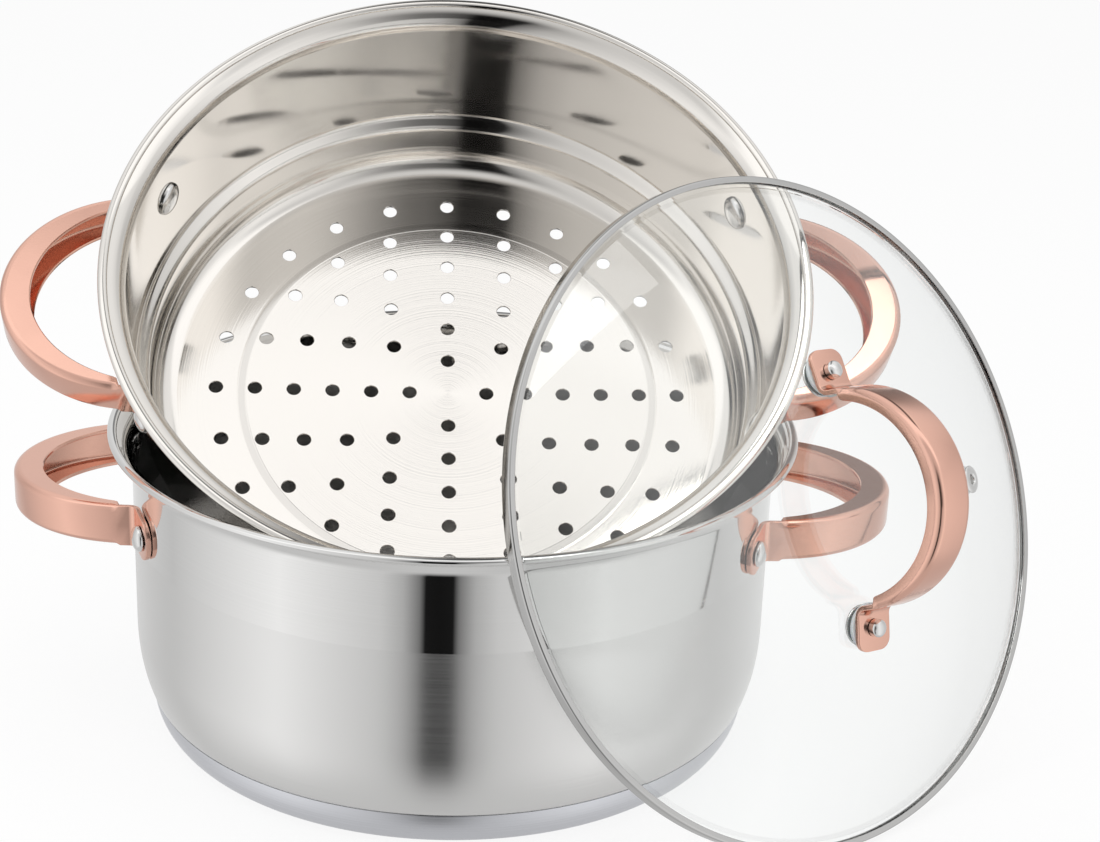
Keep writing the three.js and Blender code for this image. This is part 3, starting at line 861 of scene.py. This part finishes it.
# Pot wall: lathe-brushed below a polished band
def pot_steel():
    material, tree, shader = node_material("pot_steel")
    place, axes = own_position(tree)
    lines = noise(tree, place, POT_LINES, FINE_DETAIL)
    cloud = noise(tree, place, POT_CLOUD, SOFT_DETAIL)
    edge = ((POLISHED_FROM - POLISH_EDGE) * MM, (POLISHED_FROM + POLISH_EDGE) * MM)
    polished = mapped(tree, axes[2], *edge, 0, 1, True)
    satin = math_node(tree, "SUBTRACT", 1, polished)
    brushing = product(tree, mapped(tree, lines, *GLOSS_SPAN, *POT_SATIN), satin)
    smudge = product(tree, mapped(tree, cloud, *GLOSS_SPAN, *POT_POLISH), polished)
    tree.links.new(total(tree, brushing, smudge), shader.inputs["Roughness"])
    tree.links.new(uneven(tree, lines, STEEL, POT_SHADE), shader.inputs["Base Color"])
    bumped(tree, shader, product(tree, lines, satin), *POT_BUMP)
    shader.inputs["Metallic"].default_value = 1
    brushed_round(tree, shader, POT_BRUSHED, axes, POSES["pot"])
    return material


# Insert: polished wall, and a floor brushed in circles with a stamped ring, drawn darker as painted
# shade of its low ridge
def insert_steel():
    material, tree, shader = node_material("insert_steel")
    place, axes = own_position(tree, POSES["insert"])
    radius = radius_of(tree, axes)
    circles = line_noise(tree, radius, INSERT_CIRCLES, FINE_DETAIL)
    cloud = noise(tree, place, INSERT_CLOUD, SOFT_DETAIL)
    floor = mapped(tree, axes[2], *(h * MM for h in INSERT_FLOOR_TOP), 1, 0, True)
    wall = math_node(tree, "SUBTRACT", 1, floor)
    # Mask of the stamped ring, where painted shade of its ridge darkens the floor
    fade = (RIDGE_TO - RIDGE_FROM) / 4 * MM
    past_inner = mapped(tree, radius, RIDGE_FROM * MM, RIDGE_FROM * MM + fade, 0, 1, True)
    past_outer = mapped(tree, radius, RIDGE_TO * MM - fade, RIDGE_TO * MM, 1, 0, True)
    ridge_shaded = product(tree, product(tree, past_inner, past_outer), floor)
    brushing = product(tree, mapped(tree, circles, *GLOSS_SPAN, *INSERT_BRUSHING), floor)
    smudge = product(tree, mapped(tree, cloud, *GLOSS_SPAN, *INSERT_POLISH), wall)
    tree.links.new(total(tree, brushing, smudge), shader.inputs["Roughness"])
    brushed = uneven(tree, circles, INSERT_STEEL, INSERT_SHADE)
    # The ring's colour: the insert steel darkened as painted shade
    ring = shaded(INSERT_STEEL, RIDGE_PAINTED_SHADE)
    tree.links.new(blended(tree, ridge_shaded, brushed, ring), shader.inputs["Base Color"])
    bumped(tree, shader, product(tree, circles, floor), *INSERT_BUMP)
    shader.inputs["Metallic"].default_value = 1
    brushed_round(tree, shader, INSERT_BRUSHED, axes, POSES["insert"])
    return material


def base_steel():
    material, tree, shader = node_material("base_steel")
    _, axes = own_position(tree)
    along = total(tree, radius_of(tree, axes), axes[2])
    lines = line_noise(tree, along, BASE_LINES, FINE_DETAIL)
    tree.links.new(mapped(tree, lines, *GLOSS_SPAN, *BASE_BRUSHING), shader.inputs["Roughness"])
    tree.links.new(uneven(tree, lines, BASE_STEEL, BASE_SHADE), shader.inputs["Base Color"])
    bumped(tree, shader, lines, *BASE_BUMP)
    shader.inputs["Metallic"].default_value = 1
    brushed_round(tree, shader, BASE_BRUSHED, axes, POSES["pot"])
    return material


# A polished metal with a faint cloud in its gloss and fine hairlines
def polished_metal(name, colour, rough, hairlines):
    material, tree, shader = node_material(name)
    place, _ = own_position(tree)
    cloud = noise(tree, place, METAL_CLOUD, FINE_DETAIL)
    hair = noise(tree, place, METAL_HAIR, SOFT_DETAIL)
    tree.links.new(mapped(tree, cloud, *GLOSS_SPAN, *rough), shader.inputs["Roughness"])
    tree.links.new(uneven(tree, cloud, colour, METAL_SHADE), shader.inputs["Base Color"])
    bumped(tree, shader, hair, hairlines, HAIR_DEPTH)
    shader.inputs["Metallic"].default_value = 1
    return material


def silicone():
    material, tree, shader = node_material("silicone")
    place, _ = own_position(tree)
    grain = noise(tree, place, SILICONE_GRAIN, FINE_DETAIL)
    pale = uneven(tree, grain, SILICONE, SILICONE_SHADE, GLOSS_SPAN)
    tree.links.new(pale, shader.inputs["Base Color"])
    tree.links.new(mapped(tree, grain, *GLOSS_SPAN, *SILICONE_ROUGH), shader.inputs["Roughness"])
    shader.inputs["Subsurface Weight"].default_value = SILICONE_SOFT
    return material


def lid_glass():
    material, tree, shader = node_material("lid_glass")
    place, _ = own_position(tree)
    cloud = noise(tree, place, GLASS_CLOUD, SOFT_DETAIL)
    tree.links.new(mapped(tree, cloud, *GLOSS_SPAN, *GLASS_ROUGH), shader.inputs["Roughness"])
    shader.inputs["Base Color"].default_value = (*GLASS, 1)
    shader.inputs["Transmission Weight"].default_value = 1
    shader.inputs["IOR"].default_value = GLASS_IOR
    return material


MATERIALS = {
    "pot_steel": pot_steel(),
    "insert_steel": insert_steel(),
    "base_steel": base_steel(),
    "base_core": polished_metal("base_core", ALUMINIUM, CORE_ROUGH, CORE_HAIR),
    "rivet_steel": polished_metal("rivet_steel", STEEL, RIVET_ROUGH, RIVET_HAIR),
    # The lid band: the same steel darkened as painted shade
    "band_steel": polished_metal("band_steel", shaded(STEEL, BAND_PAINTED_SHADE), BAND_ROUGH, BAND_HAIR),
    "copper": polished_metal("copper", COPPER, COPPER_ROUGH, COPPER_HAIR),
    "gasket": silicone(),
    "lid_glass": lid_glass(),
}


# One piece of the dressed object: it stands for a node and rides on its body
def piece(node, slot, shape, normals=None):
    bodies = frame["record"]["behaviour"]["bodies"]
    body = next(b for b, nodes in bodies.items() if node in nodes)
    vertices, faces = shape
    mesh = bpy.data.meshes.new(node + "_form")
    mesh.from_pydata([Vector(v) * MM for v in vertices], [], faces)
    form = bmesh.new()
    form.from_mesh(mesh)
    bmesh.ops.remove_doubles(form, verts=form.verts, dist=WELD)
    bmesh.ops.recalc_face_normals(form, faces=form.faces)
    form.to_mesh(mesh)
    form.free()
    mesh.shade_smooth()
    mesh.set_sharp_from_angle(angle=math.radians(SMOOTH_ANGLE))
    for polygon in mesh.polygons:
        polygon.use_smooth = abs(polygon.normal.z) < LEVEL
    if normals:
        normals(mesh)
    mesh.transform(POSES[body])
    mesh.materials.append(MATERIALS[slot])
    made = bpy.data.objects.new(node + "_form", mesh)
    bpy.context.scene.collection.objects.link(made)
    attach(made, body)
    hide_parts(node)
    return made


# Side handles and their rivets
SIDE_HANDLE = {
    "seat": WALL_RADIUS + EAR_SEAT_GAP,
    "start": HANDLE_LEG_START,
    "rise": HANDLE_REACH - HANDLE_LEG_START,
    "span": HANDLE_HALF_SPAN,
    "half": STRAP_HALF,
    "flange_apex": FLANGE_APEX,
    "flange_end": FLANGE_END,
    "rivet_angle": RIVET_ANGLE,
    "ear_end": EAR_END,
    "ear_corner": STRAP_HALF - EAR_TIP / 2,
    "ear_drop": EAR_DROP,
}
SIDE_RIVET = {
    "shank": RIVET_SHANK,
    "head": RIVET_HEAD,
    "head_at": SIDE_HANDLE["seat"] + STRAP_SHEET + EAR_LIP + GAP,
    "dome": RIVET_DOME,
    "tail": RIVET_TAIL,
    "tail_at": WALL_RADIUS - SHEET - GAP,
    "tail_dome": RIVET_TAIL_DOME,
}
INSERT_RIVET = {**SIDE_RIVET, "tail": INSERT_RIVET_TAIL, "tail_dome": INSERT_TAIL_DOME}
SIDES = {"right": 0, "left": math.pi}


def along_x(shape):
    return moved(shape, Matrix.Rotation(math.pi / 2, 4, "Y"))


def about_z(shape, angle, height=0):
    return moved(shape, Matrix.Translation((0, 0, height)) @ Matrix.Rotation(angle, 4, "Z"))


def handles_and_rivets(vessel, height, side_rivet):
    loop = strap(SIDE_HANDLE)
    rivet = along_x(turned(rivet_outline(side_rivet), RIVET_STEPS))
    for side, angle in SIDES.items():
        piece(f"{vessel}_handle_{side}", "copper", about_z(loop, angle, height))
        for sign in (-1, 1):
            at = angle + sign * RIVET_ANGLE
            end = "front" if math.sin(at) < 0 else "rear"
            shape = about_z(rivet, at, height - EAR_DROP)
            piece(f"{vessel}_rivet_{side}_{end}", "rivet_steel", shape)


# Pot and insert
pot_profile, pot_seam_radius = pot_outline()
piece("pot_shell", "pot_steel", turned(pot_profile, ROUND_STEPS))
piece("pot_base_cap", "base_steel", turned(cap_outline(pot_seam_radius), ROUND_STEPS))
handles_and_rivets("pot", POT_HANDLE_HEIGHT, SIDE_RIVET)
insert_form = joined(turned(insert_outline(), ROUND_STEPS), insert_floor())
piece("insert_body", "insert_steel", insert_form, normals=dish_normals)
handles_and_rivets("insert", INSERT_HANDLE_HEIGHT, INSERT_RIVET)
core = frame["nodes"]["pot_base_core"]
core.data.materials.clear()
core.data.materials.append(MATERIALS["base_core"])

# Lid
LID_SEAT = DOME_RADIUS + GAP + GASKET_SHEET + GAP
LID_FACE = LID_SEAT + STRAP_SHEET + EAR_LIP
LID_LEG_START = LID_FACE + LID_LEG_LIFT
LID_RIVET_ANGLE = math.asin(LID_RIVET_SPREAD / LID_SEAT)
LID_HANDLE = {
    "seat": LID_SEAT,
    "start": LID_LEG_START,
    "rise": LID_FACE * math.cos(LID_RIVET_ANGLE) + LID_HANDLE_REACH - LID_LEG_START,
    "span": LID_HANDLE_SPAN,
    "half": LID_STRAP_HALF,
    "flange_apex": LID_FLANGE_APEX,
    "flange_end": LID_FLANGE_END,
    "rivet_angle": LID_RIVET_ANGLE,
    "ear_end": LID_EAR_END,
    "ear_corner": LID_EAR_CORNER,
    "ear_drop": 0,
}
WASHER_AT = DOME_RADIUS - GLASS_SHEET - 2 * GAP
LID_RIVET = {
    "shank": LID_RIVET_SHANK,
    "head": LID_RIVET_HEAD,
    "head_at": LID_FACE + GAP,
    "dome": LID_RIVET_DOME,
    "tail": LID_RIVET_TAIL,
    "tail_at": WASHER_AT - WASHER_SHEET - GAP,
    "tail_dome": RIVET_TAIL_DOME,
}
LID_FEET = {"upper": 1, "lower": -1}


def onto_dome(shape):
    place = Matrix.Translation((0, 0, DOME_CENTRE))
    return moved(shape, place @ Matrix.Rotation(-math.pi / 2, 4, "Y"))


glass = piece("lid_glass", "lid_glass", turned(glass_outline(), ROUND_STEPS))
glass.visible_shadow = False
piece("lid_band", "band_steel", turned(band_outline(), ROUND_STEPS, closed=True))
piece("lid_handle", "copper", onto_dome(strap(LID_HANDLE)))
for foot, sign in LID_FEET.items():
    hole = LID_RIVET_SHANK + GAP
    gasket_at = DOME_RADIUS + GAP
    gasket = ring_outline(GASKET_RADIUS, hole, gasket_at, gasket_at + GASKET_SHEET)
    washer = ring_outline(WASHER_RADIUS, hole, WASHER_AT - WASHER_SHEET, WASHER_AT)
    foot_pieces = {
        "rivet": ("rivet_steel", pin_outline(LID_RIVET), False),
        "gasket": ("gasket", gasket, True),
        "washer": ("rivet_steel", washer, True),
    }
    for kind, (slot, outline, closed) in foot_pieces.items():
        shape = along_x(turned(outline, RIVET_STEPS, closed))
        piece(f"lid_{kind}_{foot}", slot, onto_dome(about_z(shape, sign * LID_RIVET_ANGLE)))
vent_turn = Matrix.Rotation(math.asin(VENT_SPREAD / DOME_RADIUS), 4, "Y")
vent_place = Matrix.Translation((0, 0, DOME_CENTRE)) @ vent_turn
vent = turned(vent_outline(), RIVET_STEPS, closed=True)
piece("lid_vent", "rivet_steel", moved(vent, vent_place))


# Floor: white to the camera, with the object's shadow on it, and clear to shiny surfaces
def floor_material():
    material, tree, shader = node_material("floor")
    shader.inputs["Base Color"].default_value = (*FLOOR_WHITE, 1)
    shader.inputs["Roughness"].default_value = FLOOR_ROUGH
    glow = tree.nodes.new("ShaderNodeEmission")
    clear = tree.nodes.new("ShaderNodeBsdfTransparent")
    path = tree.nodes.new("ShaderNodeLightPath").outputs
    seen = math_node(tree, "MAXIMUM", path["Is Camera Ray"], path["Is Transmission Ray"])
    mix = tree.nodes.new("ShaderNodeMixShader")
    tree.links.new(product(tree, seen, FLOOR_GLOW), mix.inputs[0])
    tree.links.new(shader.outputs[0], mix.inputs[1])
    tree.links.new(glow.outputs[0], mix.inputs[2])
    mirrored = tree.nodes.new("ShaderNodeMixShader")
    once = math_node(tree, "GREATER_THAN", path["Glossy Depth"], MIRRORED)
    tree.links.new(once, mirrored.inputs[0])
    tree.links.new(mix.outputs[0], mirrored.inputs[1])
    tree.links.new(clear.outputs[0], mirrored.inputs[2])
    tree.links.new(mirrored.outputs[0], tree.nodes["Material Output"].inputs["Surface"])
    return material


floor_mesh = bpy.data.meshes.new("floor")
floor_signs = ((-1, -1), (1, -1), (1, 1), (-1, 1))
floor_corners = [(x * FLOOR_REACH, y * FLOOR_REACH, 0) for x, y in floor_signs]
floor_mesh.from_pydata(floor_corners, [], [(0, 1, 2, 3)])
floor_mesh.materials.append(floor_material())
floor = bpy.data.objects.new("floor", floor_mesh)
floor.location.z = -FLOOR_DROP
bpy.context.scene.collection.objects.link(floor)


# Tones all round the horizon, by the angle from the dark gap in front
def horizon(tree, x, y, flat):
    heading = math.radians(GAP_HEADING)
    along = total(tree, product(tree, x, -math.sin(heading)), product(tree, y, -math.cos(heading)))
    angle = math_node(tree, "ARCCOSINE", math_node(tree, "DIVIDE", along, flat))
    ramp = tree.nodes.new("ShaderNodeValToRGB")
    elements = ramp.color_ramp.elements
    while len(elements) < len(HORIZON_TONES):
        elements.new(0.5)
    for element, (degrees, tone) in zip(elements, HORIZON_TONES.items()):
        element.position = degrees / 180
        element.color = (tone, tone, tone, 1)
    tree.links.new(math_node(tree, "DIVIDE", angle, math.pi), ramp.inputs[0])
    return ramp.outputs[0]


# A screen that shades the upper horizon just right of the gap
def screen(tree, x, z, flat):
    sideways = math_node(tree, "DIVIDE", x, flat)
    past = mapped(tree, sideways, *SCREEN_RIGHT, SCREEN_TONE, 1, True)
    before = mapped(tree, sideways, *SCREEN_LEFT, 1, SCREEN_TONE, True)
    shade = math_node(tree, "MAXIMUM", past, before)
    return math_node(tree, "MAXIMUM", shade, mapped(tree, z, *SCREEN_FOOT, 1, 0, True))


# The softbox overhead, dim to the front and ending behind the object
def ceiling(tree, x, y):
    aside = math_node(tree, "ABSOLUTE", math_node(tree, "SUBTRACT", x, REAR_MIDDLE))
    dark_rear = mapped(tree, aside, *REAR_SPREAD, *REAR_TONES, True)
    rear = mapped(tree, y, *REAR_EDGE, 0, 1, True)
    bright = product(tree, math_node(tree, "SUBTRACT", 1, rear), OVERHEAD)
    overhead = total(tree, bright, product(tree, rear, dark_rear))
    return product(tree, overhead, mapped(tree, y, *FRONT_EDGE, FRONT_SHARE, 1, True))


# Studio: plain white to the camera, and tones by direction to shiny surfaces
def studio():
    world = bpy.data.worlds.new("studio")
    bpy.context.scene.world = world
    world.use_nodes = True
    tree = world.node_tree
    sky = tree.nodes["Background"]
    sky.inputs["Color"].default_value = (1, 1, 1, 1)
    path = tree.nodes.new("ShaderNodeLightPath").outputs
    split = tree.nodes.new("ShaderNodeSeparateXYZ")
    tree.links.new(tree.nodes.new("ShaderNodeTexCoord").outputs["Generated"], split.inputs[0])
    x, y, z = split.outputs
    flat = math_node(tree, "MAXIMUM", radius_of(tree, (x, y)), LEAST_FLAT)
    high = mapped(tree, z, *CEILING_EDGE, 0, 1, True)
    low = mapped(tree, z, *GROUND_EDGE, 1, 0, True)
    level = math_node(tree, "SUBTRACT", math_node(tree, "SUBTRACT", 1, high), low)
    side = product(tree, product(tree, horizon(tree, x, y, flat), screen(tree, x, z, flat)), level)
    below = total(tree, side, product(tree, low, GROUND_TONE))
    reflected = total(tree, below, product(tree, ceiling(tree, x, y), high))
    plain = math_node(tree, "MAXIMUM", path["Is Camera Ray"], path["Is Transmission Ray"])
    glossy = math_node(tree, "GREATER_THAN", path["Glossy Depth"], MIRRORED)
    soft = math_node(tree, "MAXIMUM", plain, SOFT_LIGHT)
    direct = product(tree, soft, math_node(tree, "SUBTRACT", 1, glossy))
    strength = total(tree, product(tree, reflected, glossy), direct)
    tree.links.new(strength, sky.inputs["Strength"])


studio()

lamp_data = bpy.data.lights.new("softbox", "AREA")
lamp_data.size = LAMP_SIZE
lamp_data.energy = LAMP_POWER
lamp = bpy.data.objects.new("softbox", lamp_data)
lamp.location = LAMP_AT
lamp_way = Vector(LAMP_AIM) - lamp.location
lamp.rotation_euler = lamp_way.to_track_quat("-Z", "Y").to_euler()
lamp.visible_glossy = False
bpy.context.scene.collection.objects.link(lamp)

# Camera
camera_data = bpy.data.cameras.new("camera")
camera_data.sensor_width = SENSOR
camera_data.sensor_fit = "HORIZONTAL"
camera_data.lens = FOCAL_PIXELS * SENSOR / PHOTO_WIDTH
camera_data.clip_start = CAMERA_NEAR
camera = bpy.data.objects.new("camera", camera_data)
bpy.context.scene.collection.objects.link(camera)
camera_axes = Matrix((CAMERA_RIGHT, CAMERA_UP, CAMERA_BACK)).transposed()
camera.matrix_world = Matrix.Translation(Vector(CAMERA_AT) * MM) @ camera_axes.to_4x4()
bpy.context.scene.camera = camera
bpy.context.scene.view_settings.view_transform = "Standard"
